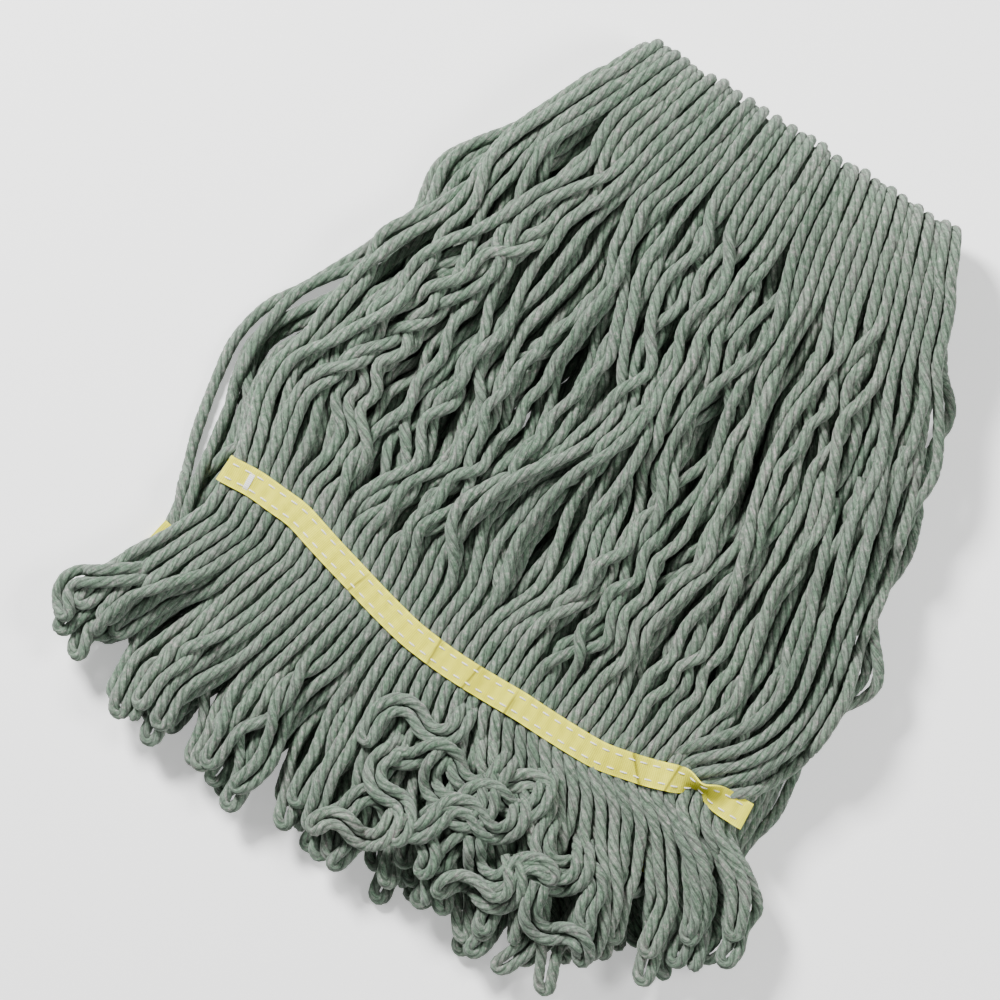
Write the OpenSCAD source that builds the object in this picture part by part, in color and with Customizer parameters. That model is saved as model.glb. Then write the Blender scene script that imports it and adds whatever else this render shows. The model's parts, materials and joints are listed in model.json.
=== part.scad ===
// Looped-end wet mop head, folded once over its headband and lying on its lower half.
// +Z is up, +Y points to the fold, X runs along the fold. All sizes are in mm.

/* [Overall] */
// Width of the head along the fold
head_w = 163; // [120:1:210]
// Width of each half where it first spreads, just below the headband
shoulder_w = 208; // [150:1:260]
// Width of each half at its belly
belly_w = 286; // [200:1:340]
// Width of the upper half at its tailband
tailband_w = 276; // [190:1:340]
// Width of the lower half at its tailband
lower_tailband_w = 300; // [210:1:340]
// Width of the fringe at the loop ends
fringe_w = 353; // [250:1:420]
// Distance from the fold to the middle of the upper half's tailband
tailband_at = 285; // [220:1:380]
// How much further from the fold the lower half's tailband lies
lower_drop = 33; // [10:1:50]
// Distance from the middle of the upper half's tailband to the longest loop
fringe_len = 112; // [95:1:150]
// Distance past a tailband in which the fringe spreads to its full width
spread_len = 32; // [24:1:60]

/* [Yarn] */
// Number of yarn hanks across each half
hanks = 12; // [8:1:12]
// Space between one hank and the next
hank_gap = 0.6; // [0.3:0.1:1.5]
// Outer radius of the yarn where it turns over the headband
fold_r = 22; // [17:0.5:28]
// Thickness of one half at its shoulder
shoulder_t = 20; // [15:0.5:25]
// Thickness of one half at its tailband
tailband_t = 15; // [11:0.5:20]
// Thickness of one half at its loop ends
fringe_t = 13; // [10:0.5:18]
// Space between the two halves where they lie on each other
seam_gap = 0.8; // [0.4:0.1:2]

/* [Headband] */
// Full width of the headband tape before it is folded
headband_w = 32; // [24:1:60]
// Thickness of the headband tape
headband_t = 1; // [0.6:0.1:1.6]
// Radius of the handle's clamp bar, which lies inside the fold
bar_r = 4; // [3:0.25:6]
// Space between the headband's fold and the flat leaf at each end of it
leaf_gap = 0.3; // [0.2:0.1:1]

/* [Tailband] */
// Width of the tailband tape
tape_w = 12.7; // [8:0.1:20]
// Thickness of the tailband tape
tape_t = 0.8; // [0.5:0.1:1.5]
// How far the upper tailband's ends rise towards the fold from its middle
tape_bow = 20; // [0:1:30]
// The same for the lower tailband
lower_bow = 12; // [0:1:30]
// How far the tape runs past the outer hanks at each end
tape_over = 2; // [0:0.5:8]

/* [Stitching] */
// Length of one stitch
stitch_len = 3.6; // [2:0.1:6]
// Distance from one stitch to the next
stitch_pitch = 6; // [4.5:0.1:10]
// Thickness of the sewing thread
thread_t = 0.4; // [0.2:0.05:0.8]
// Distance of a stitch row from the tape's edge
stitch_in = 2.6; // [1.5:0.1:4]

/* [Hidden] */
length = tailband_at + fringe_len;
hinge_y = length / 2 - fold_r;
wrap_in_r = bar_r + headband_t;
leaf_len = (headband_w - PI * (bar_r + headband_t / 2)) / 2;
leaf_end = fold_r + leaf_len;
shoulder_at = leaf_end + 24;
belly_at = (shoulder_at + tailband_at) * 0.6;
lower_at = tailband_at + lower_drop;
// A tailband tape and its thread are let into the hanks by this much.
tape_inset = tape_t + thread_t;
// The stretch of hank that is pressed flat under the tape, and the slope at each end of it
press_len = tape_w + 8;
press_ramp = 4;
// The stretch in which both halves keep one thickness, so that the tapes lie flat
flat_from = min(tailband_at - tape_bow, lower_at - lower_bow) - press_len;
flat_to = max(tailband_at, lower_at) + press_len;
// Share of a hank's smaller side that is taken off at each corner
corner_share = 0.28;
// Length of a hank's rounded end
end_len = fringe_t * 0.7;
// Share of the fringe's length that each hank's loops have below the middle of the
// tailband, from left to right, for 12 hanks
upper_loops = [0.68, 0.78, 0.87, 0.92, 0.93, 0.94, 0.96, 1, 0.93, 0.82, 0.66, 0.41];
lower_loops = [0.56, 0.66, 0.78, 0.86, 0.9, 0.92, 0.95, 0.98, 0.9, 0.75, 0.6, 0.4];
tape_steps = 24;

YARN = [0.50, 0.58, 0.51];
TAPE = [0.93, 0.89, 0.50];
BAND = [0.86, 0.86, 0.80];
THREAD = [0.95, 0.94, 0.86];

function two(i) = i < 10 ? str("0", i) : str(i);

// ---- Shape of a half, as functions of the distance a from the fold ----
// A side s is "upper" or "lower".

function band_at(s) = s == "upper" ? tailband_at : lower_at;
function band_half(s) = (s == "upper" ? tailband_w : lower_tailband_w) / 2;
function tape_half(s) = band_half(s) + tape_over;
function bow(s) = s == "upper" ? tape_bow : lower_bow;

function half_width(s, a) = lookup(a, [
    [fold_r, head_w / 2],
    [leaf_end, (head_w + shoulder_w) / 4],
    [shoulder_at, shoulder_w / 2],
    [belly_at, belly_w / 2],
    [band_at(s), band_half(s)],
    [band_at(s) + spread_len, fringe_w / 2]
]);

// Heights of the surface between the halves and of the upper half's top. At the headband the
// halves stand apart round the clamp bar.
function seam(a, neck) = lookup(a, [
    [fold_r, neck],
    [leaf_end, neck],
    [shoulder_at, shoulder_t],
    [flat_from, tailband_t],
    [flat_to, tailband_t],
    [length, fringe_t]
]);
function lower_top(a) = seam(a, fold_r - wrap_in_r);
function upper_bottom(a) = seam(a, fold_r + wrap_in_r - seam_gap) + seam_gap;
function upper_top(a) = 2 * seam(a, fold_r - seam_gap / 2) + seam_gap;

// Distance of a tailband's centre line from the fold, at x
function tape_at(s, x) = band_at(s) - bow(s) * pow(x / tape_half(s), 2);

// How far a hank's face is pressed in by the tailband, at a distance d from its centre line
function press(d) = lookup(abs(d), [
    [0, tape_inset],
    [press_len / 2, tape_inset],
    [press_len / 2 + press_ramp, 0]
]);

// ---- Hanks ----

function hank_edge(s, i, a) = half_width(s, a) * (2 * i / hanks - 1);
function hank_left(s, i, a) = hank_edge(s, i - 1, a) + hank_gap / 2;
function hank_right(s, i, a) = hank_edge(s, i, a) - hank_gap / 2;
function hank_middle(s, i, a) = hank_edge(s, i - 0.5, a);
function hank_tape(s, i) = tape_at(s, hank_middle(s, i, band_at(s)));
function loops(s) = s == "upper" ? upper_loops : lower_loops;
function loop_below(s) = s == "upper" ? fringe_len : length - lower_at;
function hank_end(s, i) =
    band_at(s) + loop_below(s) * loops(s)[floor((i - 0.5) * len(loops(s)) / hanks)];

// An eight-sided section between x0 and x1 and between z0 and z1
function section(x0, x1, z0, z1) = let (c = corner_share * min(x1 - x0, z1 - z0)) [
    [x0 + c, z0], [x1 - c, z0], [x1, z0 + c], [x1, z1 - c],
    [x1 - c, z1], [x0 + c, z1], [x0, z1 - c], [x0, z0 + c]
];

function sorted(v) = len(v) < 2 ? v : concat(
    sorted([for (x = v) if (x < v[0]) x]),
    [v[0]],
    sorted([for (x = v) if (x > v[0]) x])
);

// Distances from the fold at which hank i has a ring. All hanks of a half share those where
// the half's width changes its slope, so that neighbours stay apart by hank_gap.
function stations(s, i) =
    let (
        t = hank_tape(s, i),
        half = press_len / 2,
        e = hank_end(s, i),
        shared = [fold_r, leaf_end, shoulder_at, belly_at, band_at(s), band_at(s) + spread_len],
        own = [t - half - press_ramp, t - half, t + half, t + half + press_ramp],
        flat_ends = [flat_from, flat_to]
    )
    concat(
        [for (a = sorted(concat(shared, own, flat_ends))) if (a < e - end_len) a],
        [for (k = [1, 0.5, 0.2, 0]) e - k * end_len]
    );

// Share of its full section that a ring keeps, which rounds the loop end
function end_share(s, i, a) = let (t = (a - hank_end(s, i)) / end_len + 1)
    t <= 0 ? 1 : sqrt(max(0.06, 1 - t * t));

function ring(s, i, a, low, high) =
    let (
        k = end_share(s, i, a),
        xm = hank_middle(s, i, a),
        xh = k * (hank_right(s, i, a) - hank_left(s, i, a)) / 2,
        zm = (low + high) / 2,
        zh = k * (high - low) / 2
    )
    [for (p = section(xm - xh, xm + xh, zm - zh, zm + zh)) [p[0], length / 2 - a, p[1]]];

// A closed solid through rings of n points each
module loft(rings) {
    n = len(rings[0]);
    last = len(rings) - 1;
    sides = [for (r = [0:last - 1], k = [0:n - 1])
        let (p = r * n + k, q = r * n + (k + 1) % n)
        each [[p, q, q + n], [p, q + n, p + n]]];
    near_cap = [for (k = [1:n - 2]) [0, k + 1, k]];
    far_cap = [for (k = [1:n - 2]) [last * n, last * n + k, last * n + k + 1]];
    polyhedron([for (r = rings) each r], concat(sides, near_cap, far_cap));
}

module lower_hank(i) {
    color(YARN)
        loft([for (a = stations("lower", i))
            let (p = press(a - hank_tape("lower", i)))
            ring("lower", i, a, p, lower_top(a) - p)]);
}

module upper_hank(i) {
    color(YARN)
        loft([for (a = stations("upper", i))
            let (p = press(a - hank_tape("upper", i)))
            ring("upper", i, a, upper_bottom(a) + p, upper_top(a) - p)]);
}

// Turns a profile of [radius, x] half way round the fold's axis, from below to above
module around_fold() {
    translate([0, hinge_y, fold_r])
        rotate([0, 90, 0])
            rotate_extrude(angle = 180, $fn = 64)
                children();
}

// The stretch of a hank that goes round the headband and joins its two halves
module fold_hank(i) {
    x0 = hank_left("upper", i, fold_r);
    x1 = hank_right("upper", i, fold_r);
    profile = section(x0, x1, 0, fold_r - wrap_in_r);
    color(YARN)
        around_fold()
            polygon([for (p = profile) [fold_r - p[1], p[0]]]);
}

// ---- Headband ----

module headband_fold() {
    color(BAND)
        around_fold()
            translate([bar_r, -head_w / 2])
                square([headband_t, head_w]);
}

module headband_leaf(z) {
    color(BAND)
        translate([-head_w / 2, hinge_y - leaf_len, z])
            cube([head_w, leaf_len - leaf_gap, headband_t]);
}

module lower_headband_leaf() {
    headband_leaf(fold_r - wrap_in_r);
}

module upper_headband_leaf() {
    headband_leaf(fold_r + bar_r);
}

// One straight row of stitches along the middle of a headband leaf
module headband_row(z) {
    count = floor((head_w - stitch_len) / stitch_pitch);
    color(THREAD)
        for (k = [0:count])
            translate([(k - count / 2) * stitch_pitch, hinge_y - leaf_len + stitch_in, z + thread_t / 2])
                cube([stitch_len, thread_t, thread_t], center = true);
}

module lower_headband_stitches() {
    headband_row(fold_r - bar_r);
}

module upper_headband_stitches() {
    headband_row(fold_r + bar_r - thread_t);
}

// ---- Tailbands ----

// A point beside a tailband's centre line, and the line's slope in degrees
function tape_slope(s, x) = atan(2 * bow(s) * x / pow(tape_half(s), 2));
function tape_point(s, x, off) = [
    x - off * sin(tape_slope(s, x)),
    length / 2 - tape_at(s, x) + off * cos(tape_slope(s, x))
];

module tailband(s, z) {
    xs = [for (k = [0:tape_steps]) tape_half(s) * (2 * k / tape_steps - 1)];
    low = [for (x = xs) tape_point(s, x, -tape_w / 2)];
    high = [for (k = [tape_steps:-1:0]) tape_point(s, xs[k], tape_w / 2)];
    color(TAPE)
        translate([0, 0, z])
            linear_extrude(tape_t)
                polygon(concat(low, high));
}

// Two rows of stitches along a tailband
module tailband_rows(s, z) {
    count = floor((2 * tape_half(s) - 3 * stitch_len) / stitch_pitch);
    color(THREAD)
        for (k = [0:count], edge = [-1, 1]) {
            x = (k - count / 2) * stitch_pitch;
            spot = tape_point(s, x, edge * (tape_w / 2 - stitch_in));
            translate([spot[0], spot[1], z + thread_t / 2])
                rotate(tape_slope(s, x))
                    cube([stitch_len, thread_t, thread_t], center = true);
        }
}

upper_z = tailband_t + seam_gap;

module lower_tailband_outer() {
    tailband("lower", thread_t);
}

module lower_tailband_inner() {
    tailband("lower", tailband_t - tape_inset);
}

module upper_tailband_inner() {
    tailband("upper", upper_z + thread_t);
}

module upper_tailband_outer() {
    tailband("upper", upper_z + tailband_t - tape_inset);
}

module lower_outer_stitches() {
    tailband_rows("lower", 0);
}

module lower_inner_stitches() {
    tailband_rows("lower", tailband_t - thread_t);
}

module upper_inner_stitches() {
    tailband_rows("upper", upper_z);
}

module upper_outer_stitches() {
    tailband_rows("upper", upper_z + tailband_t - thread_t);
}

for (i = [1:hanks]) {
    lower_hank(i);
    upper_hank(i);
    fold_hank(i);
}
headband_fold();
lower_headband_leaf();
upper_headband_leaf();
lower_headband_stitches();
upper_headband_stitches();
lower_tailband_outer();
lower_tailband_inner();
upper_tailband_outer();
upper_tailband_inner();
lower_outer_stitches();
lower_inner_stitches();
upper_outer_stitches();
upper_inner_stitches();
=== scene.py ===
import json
import math

import bpy
import numpy as np
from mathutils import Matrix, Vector


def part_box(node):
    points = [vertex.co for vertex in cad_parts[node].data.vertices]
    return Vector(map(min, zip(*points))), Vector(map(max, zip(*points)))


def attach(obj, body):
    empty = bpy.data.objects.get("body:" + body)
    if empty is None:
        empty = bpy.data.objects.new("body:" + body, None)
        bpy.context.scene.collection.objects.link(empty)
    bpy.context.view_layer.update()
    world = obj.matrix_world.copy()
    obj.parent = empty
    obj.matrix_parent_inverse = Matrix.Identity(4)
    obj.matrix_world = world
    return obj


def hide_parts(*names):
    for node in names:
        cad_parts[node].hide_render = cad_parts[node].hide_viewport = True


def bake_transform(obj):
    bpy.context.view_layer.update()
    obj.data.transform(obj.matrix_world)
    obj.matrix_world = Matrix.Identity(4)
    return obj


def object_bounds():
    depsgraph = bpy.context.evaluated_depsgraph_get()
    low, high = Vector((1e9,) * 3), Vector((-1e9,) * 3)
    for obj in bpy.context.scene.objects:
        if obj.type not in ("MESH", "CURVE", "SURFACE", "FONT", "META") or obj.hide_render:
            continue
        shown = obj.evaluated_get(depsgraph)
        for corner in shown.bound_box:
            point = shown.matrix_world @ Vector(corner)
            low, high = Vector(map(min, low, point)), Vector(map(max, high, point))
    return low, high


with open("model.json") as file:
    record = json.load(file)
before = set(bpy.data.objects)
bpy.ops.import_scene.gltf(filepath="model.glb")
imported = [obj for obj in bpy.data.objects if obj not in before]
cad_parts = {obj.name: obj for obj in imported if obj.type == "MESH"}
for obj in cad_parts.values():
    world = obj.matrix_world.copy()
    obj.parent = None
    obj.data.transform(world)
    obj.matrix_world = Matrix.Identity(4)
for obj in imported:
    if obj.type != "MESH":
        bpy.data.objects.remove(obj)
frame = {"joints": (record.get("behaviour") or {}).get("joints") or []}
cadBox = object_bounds()
random = np.random.default_rng(876)
mm = 0.001

# The head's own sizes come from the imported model, in mm.
bandHigh = np.array(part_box("headband_fold")[1]) / mm
turnHigh = np.array(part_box("fold_hank_06")[1]) / mm
wholeLow, wholeHigh = [np.array(corner) / mm for corner in cadBox]
hinge = np.array(frame["joints"][0]["pos_m"]) / mm     # the fold's axis
foldRadius = turnHigh[2] / 2                           # outside of the yarn's turn
innerRadius = bandHigh[2] - hinge[2]                   # outside of the headband's turn
headHalf = bandHigh[0]
foldLine = turnHigh[1]                                 # the furthest that the fold reaches along Y
headLength = wholeHigh[1] - wholeLow[1]
print("frame loaded: fold radius", round(foldRadius, 1), "length", round(headLength, 1))


# Camera, floor and lights
def addObject(name, data):
    made = bpy.data.objects.new(name, data)
    bpy.context.scene.collection.objects.link(made)
    return made


view = {
    "lookAt": (-28.3, foldLine - 212.4),     # mm, the point that the camera looks at
    "across": 447.0,                         # mm seen from side to side
    "level": 25.0,                           # mm, the height at which that is measured
    "height": 2600.0,                        # mm
    "roll": 32.3,                            # degrees
    "sensor": 36.0,
}


def addCamera():
    data = bpy.data.cameras.new("camera")
    camera = addObject("camera", data)
    x, y = view["lookAt"]
    camera.location = (x * mm, y * mm, view["height"] * mm)
    camera.rotation_euler = (0, 0, math.radians(view["roll"]))
    data.sensor_width = view["sensor"]
    data.lens = view["sensor"] * (view["height"] - view["level"]) / view["across"]
    data.clip_end = 20
    bpy.context.scene.camera = camera


studio = {
    "ambient": 0.24,
    # name, place and size in metres, and power of each lamp
    "lamps": (("softKey", (-1.25, 0.55, 1.3), 0.42, 84), ("softFill", (1.0, 0.6, 1.4), 0.6, 22)),
    "floor": (0.98, 0.98, 0.975),
    "floorSize": 6,
    "floorLevel": -0.0009,
    "floorGlow": 0.42,
}


def addStudio():
    world = bpy.data.worlds.new("studio")
    bpy.context.scene.world = world
    world.use_nodes = True
    sky = world.node_tree.nodes["Background"]
    sky.inputs["Color"].default_value = (1, 1, 1, 1)
    sky.inputs["Strength"].default_value = studio["ambient"]
    for name, place, size, power in studio["lamps"]:
        data = bpy.data.lights.new(name, "AREA")
        data.size = size
        data.energy = power
        lamp = addObject(name, data)
        lamp.location = place
        lamp.rotation_euler = (-Vector(place)).to_track_quat("-Z", "Y").to_euler()
    bpy.ops.mesh.primitive_plane_add(size=studio["floorSize"], location=(0, 0, studio["floorLevel"]))
    floor = bpy.context.object
    floor.name = "floor"
    material = bpy.data.materials.new("paleFloor")
    material.use_nodes = True
    shader = material.node_tree.nodes["Principled BSDF"]
    shader.inputs["Base Color"].default_value = (*studio["floor"], 1)
    shader.inputs["Roughness"].default_value = 0.9
    shader.inputs["Emission Color"].default_value = (1, 1, 1, 1)
    shader.inputs["Emission Strength"].default_value = studio["floorGlow"]
    floor.data.materials.append(material)


addCamera()
addStudio()
print("camera and light ready")


# Small helpers for materials
def newMaterial(name):
    material = bpy.data.materials.new(name)
    material.use_nodes = True
    tree = material.node_tree
    return material, tree, tree.nodes["Principled BSDF"]


def addNode(tree, kind, **values):
    made = tree.nodes.new(kind)
    for key, value in values.items():
        setattr(made, key, value)
    return made


def ramp(tree, source, stops):
    made = addNode(tree, "ShaderNodeValToRGB")
    elements = made.color_ramp.elements
    while len(elements) < len(stops):
        elements.new(0.5)
    for element, (at, colour) in zip(elements, stops):
        element.position = at
        element.color = (*colour, 1) if isinstance(colour, tuple) else (colour, colour, colour, 1)
    tree.links.new(source, made.inputs["Fac"])
    return made.outputs["Color"]


def noise(tree, vector, scale, detail=3.0, rough=0.6):
    made = addNode(tree, "ShaderNodeTexNoise")
    made.inputs["Scale"].default_value = scale
    made.inputs["Detail"].default_value = detail
    made.inputs["Roughness"].default_value = rough
    tree.links.new(vector, made.inputs["Vector"])
    return made.outputs["Fac"]


def mixColour(tree, factor, first, second, kind="MIX"):
    made = addNode(tree, "ShaderNodeMix", data_type="RGBA", blend_type=kind)
    if isinstance(factor, float):
        made.inputs["Factor"].default_value = factor
    else:
        tree.links.new(factor, made.inputs["Factor"])
    tree.links.new(first, made.inputs[6])
    if isinstance(second, tuple):
        made.inputs[7].default_value = (*second, 1)
    else:
        tree.links.new(second, made.inputs[7])
    return made.outputs[2]


def maths(tree, kind, first, second=None):
    made = addNode(tree, "ShaderNodeMath", operation=kind)
    for socket, value in zip(made.inputs, (first, second)):
        if isinstance(value, (int, float)):
            socket.default_value = value
        elif value is not None:
            tree.links.new(value, socket)
    return made.outputs[0]


def bumpFrom(tree, shader, height, strength, distance):
    bump = addNode(tree, "ShaderNodeBump")
    bump.inputs["Strength"].default_value = strength
    bump.inputs["Distance"].default_value = distance
    tree.links.new(height, bump.inputs["Height"])
    tree.links.new(bump.outputs["Normal"], shader.inputs["Normal"])


def attribute(tree, name):
    return addNode(tree, "ShaderNodeAttribute", attribute_name=name).outputs["Fac"]


def uvMap(tree):
    return addNode(tree, "ShaderNodeUVMap", uv_map="along").outputs["UV"]


def stretched(tree, vector, scale):
    made = addNode(tree, "ShaderNodeMapping")
    made.inputs["Scale"].default_value = scale
    tree.links.new(vector, made.inputs["Vector"])
    return made.outputs["Vector"]


def perLength(tree, source, length):
    return maths(tree, "MULTIPLY", source, 2 * math.pi / length)


# Brings a wave's -1 to 1 into 0 to 1
def lifted(tree, source):
    return maths(tree, "ADD", maths(tree, "MULTIPLY", source, 0.5), 0.5)


# The yarn's colours, each with its place on a scale from 0 to 1
heather = {
    "patches": ((0.32, (0.090, 0.165, 0.102)), (0.48, (0.146, 0.221, 0.156)),
                (0.60, (0.188, 0.234, 0.184)), (0.72, (0.126, 0.216, 0.140))),
    "plies": ((0.34, (0.068, 0.154, 0.084)), (0.45, (0.130, 0.226, 0.142)),
              (0.54, (0.198, 0.246, 0.200)), (0.64, (0.285, 0.240, 0.250))),
    "flecks": ((0.30, (0.030, 0.062, 0.036)), (0.42, (0.140, 0.205, 0.145)),
               (0.56, (0.200, 0.262, 0.205)), (0.70, (0.50, 0.44, 0.43))),
    "fibres": ((0.30, 0.12), (0.48, 0.80), (0.70, 1.45)),
    "tone": ((0.0, (0.80, 0.83, 0.80)), (0.5, (1, 1, 1)), (1.0, (1.13, 1.08, 1.09))),
    # painted shade: this ramp darkens the grooves between the plies, where shade falls
    "furrowShade": ((0.0, 1.0), (0.35, 0.92), (1.0, 0.42)),
}


def yarnMaterial():
    material, tree, shader = newMaterial("heatherYarn")
    uv = uvMap(tree)
    place = addNode(tree, "ShaderNodeTexCoord").outputs["Object"]
    fibres = noise(tree, stretched(tree, uv, (1500, 230, 1)), 1.0, 4, 0.72)
    plies = noise(tree, stretched(tree, uv, (300, 48, 1)), 1.0, 2)
    flecks = noise(tree, place, 560, 2, 0.7)
    patches = noise(tree, place, 55)
    colour = ramp(tree, patches, heather["patches"])
    colour = mixColour(tree, 0.5, colour, ramp(tree, plies, heather["plies"]))
    colour = mixColour(tree, 0.5, colour, ramp(tree, flecks, heather["flecks"]))
    # fibre streaks, each yarn's random tone, and painted shade in the grooves between the plies
    for strength, source, stops in ((0.9, fibres, "fibres"), (0.9, attribute(tree, "tone"), "tone"),
                                    (1.0, attribute(tree, "furrowShade"), "furrowShade")):
        colour = mixColour(tree, strength, colour, ramp(tree, source, heather[stops]), "MULTIPLY")
    tree.links.new(colour, shader.inputs["Base Color"])
    shader.inputs["Roughness"].default_value = 0.92
    shader.inputs["Specular IOR Level"].default_value = 0.12
    shader.inputs["Sheen Weight"].default_value = 0.18
    shader.inputs["Sheen Roughness"].default_value = 0.6
    bumpFrom(tree, shader, fibres, 0.85, 0.0009)
    return material


# Sizes of the weave and of the thread's twist, in metres
weave = {"rib": 0.0009, "warp": 0.0007, "twist": 0.0009, "slant": 0.0013}


# Woven tape: ribs run across it, its rim is lighter, and a painted shadow darkens it in its creases
def tapeMaterial(name, warp, weft, shadow, halfWidth=None):
    material, tree, shader = newMaterial(name)
    uv = uvMap(tree)
    split = addNode(tree, "ShaderNodeSeparateXYZ")
    tree.links.new(uv, split.inputs[0])
    ribs = maths(tree, "SINE", perLength(tree, split.outputs["Y"], weave["rib"]))
    cross = maths(tree, "SINE", perLength(tree, split.outputs["X"], weave["warp"]))
    level = maths(tree, "ADD", maths(tree, "MULTIPLY", ribs, 0.5), maths(tree, "MULTIPLY", cross, 0.28))
    level = lifted(tree, level)
    colour = ramp(tree, level, ((0.12, weft), (0.8, warp)))
    mottle = ramp(tree, noise(tree, uv, 260, 4, 0.65), ((0.3, 0.80), (0.55, 1.0), (0.75, 1.1)))
    colour = mixColour(tree, 0.6, colour, mottle, "MULTIPLY")
    stain = ramp(tree, noise(tree, uv, 38), ((0.3, (0.88, 0.84, 0.50)), (0.6, (1, 1, 1))))
    colour = mixColour(tree, 0.7, colour, stain, "MULTIPLY")
    if halfWidth:
        fromMiddle = maths(tree, "DIVIDE", maths(tree, "ABSOLUTE", split.outputs["X"]), halfWidth)
        rim = ramp(tree, fromMiddle, ((0.80, 1.0), (0.92, 1.18)))
        colour = mixColour(tree, 1.0, colour, rim, "MULTIPLY")
    # painted shadow: the shadow colour is mixed in where the tape is creased
    colour = mixColour(tree, attribute(tree, "creaseShadow"), colour, shadow)
    tree.links.new(colour, shader.inputs["Base Color"])
    shader.inputs["Roughness"].default_value = 0.8
    shader.inputs["Specular IOR Level"].default_value = 0.2
    shader.inputs["Sheen Weight"].default_value = 0.05
    bumpFrom(tree, shader, level, 0.45, 0.0004)
    return material


def threadMaterial():
    material, tree, shader = newMaterial("sewingThread")
    split = addNode(tree, "ShaderNodeSeparateXYZ")
    tree.links.new(uvMap(tree), split.inputs[0])
    slant = maths(tree, "ADD", perLength(tree, split.outputs["Y"], weave["twist"]),
                  perLength(tree, split.outputs["X"], weave["slant"]))
    twist = lifted(tree, maths(tree, "SINE", slant))
    colour = ramp(tree, twist, ((0.1, (0.70, 0.68, 0.58)), (0.6, (0.95, 0.94, 0.90))))
    tree.links.new(colour, shader.inputs["Base Color"])
    shader.inputs["Roughness"].default_value = 0.6
    bumpFrom(tree, shader, twist, 0.4, 0.0002)
    return material


yarnFinish = yarnMaterial()
# the last colour of each tape is the painted shadow for its creases; the headband has no creases
bandFinish = tapeMaterial("yellowTape", (0.88, 0.85, 0.068), (0.69, 0.65, 0.028), (0.17, 0.15, 0.01),
                          halfWidth=0.00635)
headbandFinish = tapeMaterial("headbandWebbing", (0.66, 0.66, 0.60), (0.48, 0.48, 0.43), (0.2, 0.2, 0.18))
threadFinish = threadMaterial()
print("materials ready")


# Small helpers for paths and tables
def ease(t):
    t = np.clip(t, 0, 1)
    return t * t * (3 - 2 * t)


def table(rows, at):
    return np.interp(at, [row[0] for row in rows], [row[1] for row in rows])


def unit(vectors):
    return vectors / np.linalg.norm(vectors, axis=-1, keepdims=True)


def runLength(points):
    return np.concatenate([[0], np.cumsum(np.linalg.norm(np.diff(points, axis=0), axis=1))])


def pointsAt(at, length, points):
    return np.stack([np.interp(at, length, column) for column in points.T], 1)


def smoothed(values, width):
    kernel = np.hanning(width)
    return np.convolve(np.pad(values, width // 2, "edge"), kernel / kernel.sum(), "valid")


# Meshes swept from rings
patternShift = 900       # mm along the yarn that a tone of 1 moves its pattern


def addUv(mesh, uv):
    layer = mesh.uv_layers.new(name="along")
    layer.uv.foreach_set("vector", uv.astype(np.float32).ravel())


def addField(mesh, name, values):
    made = mesh.attributes.new(name, "FLOAT", "POINT")
    made.data.foreach_set("value", values.astype(np.float32))


def addPiece(name, mesh, material):
    mesh.polygons.foreach_set("use_smooth", np.ones(len(mesh.polygons), bool))
    mesh.materials.append(material)
    return addObject(name, mesh)


# Gathers swept tubes, then makes one mesh of them. Every ring has the same number of points.
class Strands:
    def __init__(self):
        self.vertices, self.quads, self.caps = [], [], []
        self.uvs, self.tones, self.furrowShades = [], [], []
        self.total = 0

    def add(self, rings, along, tone, furrowShade, girth):
        count, around = rings.shape[:2]
        base = self.total
        self.vertices.append(rings.reshape(-1, 3))
        k = np.arange(around)
        r = np.arange(count - 1)[:, None]
        nextK = (k + 1) % around
        quad = np.stack([base + r * around + k, base + r * around + nextK,
                         base + (r + 1) * around + nextK, base + (r + 1) * around + k], 2)
        self.quads.append(quad.reshape(-1, 4))
        u = np.arange(around + 1) / around * girth * mm
        v = (along + tone * patternShift) * mm
        uv = np.zeros((count - 1, around, 4, 2))
        uv[:, :, (0, 3), 0] = u[:-1, None]
        uv[:, :, (1, 2), 0] = u[1:, None]
        uv[:, :, (0, 1), 1] = v[:-1, None, None]
        uv[:, :, (2, 3), 1] = v[1:, None, None]
        self.uvs.append(uv.reshape(-1, 2))
        self.caps.append((base + k)[::-1])
        self.caps.append(base + (count - 1) * around + k)
        self.tones.append(np.full(count * around, tone))
        # painted shade for the grooves between the plies, one value per point of each ring
        self.furrowShades.append(np.tile(furrowShade, count))
        self.total += count * around

    def build(self, name, material, sharpEnds=True):
        vertices = np.concatenate(self.vertices) * mm
        quads = np.concatenate(self.quads)
        caps = np.array(self.caps)
        around = caps.shape[1]
        mesh = bpy.data.meshes.new(name)
        mesh.vertices.add(len(vertices))
        mesh.vertices.foreach_set("co", vertices.astype(np.float32).ravel())
        loops = np.concatenate([quads.ravel(), caps.ravel()])
        mesh.loops.add(len(loops))
        mesh.loops.foreach_set("vertex_index", loops.astype(np.int32))
        starts = np.concatenate([np.arange(len(quads)) * 4,
                                 len(quads) * 4 + np.arange(len(caps)) * around])
        mesh.polygons.add(len(starts))
        mesh.polygons.foreach_set("loop_start", starts.astype(np.int32))
        addUv(mesh, np.concatenate(self.uvs + [np.zeros((caps.size, 2))]))
        addField(mesh, "tone", np.concatenate(self.tones))
        addField(mesh, "furrowShade", np.concatenate(self.furrowShades))
        mesh.update(calc_edges=True)
        mesh.validate()
        if sharpEnds:
            ends = np.zeros(len(vertices), bool)
            ends[caps.ravel()] = True
            pairs = np.zeros(len(mesh.edges) * 2, np.int32)
            mesh.edges.foreach_get("vertices", pairs)
            pairs = pairs.reshape(-1, 2)
            mark = mesh.attributes.new("sharp_edge", "BOOLEAN", "EDGE")
            mark.data.foreach_set("value", ends[pairs[:, 0]] & ends[pairs[:, 1]])
        return addPiece(name, mesh, material)


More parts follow.
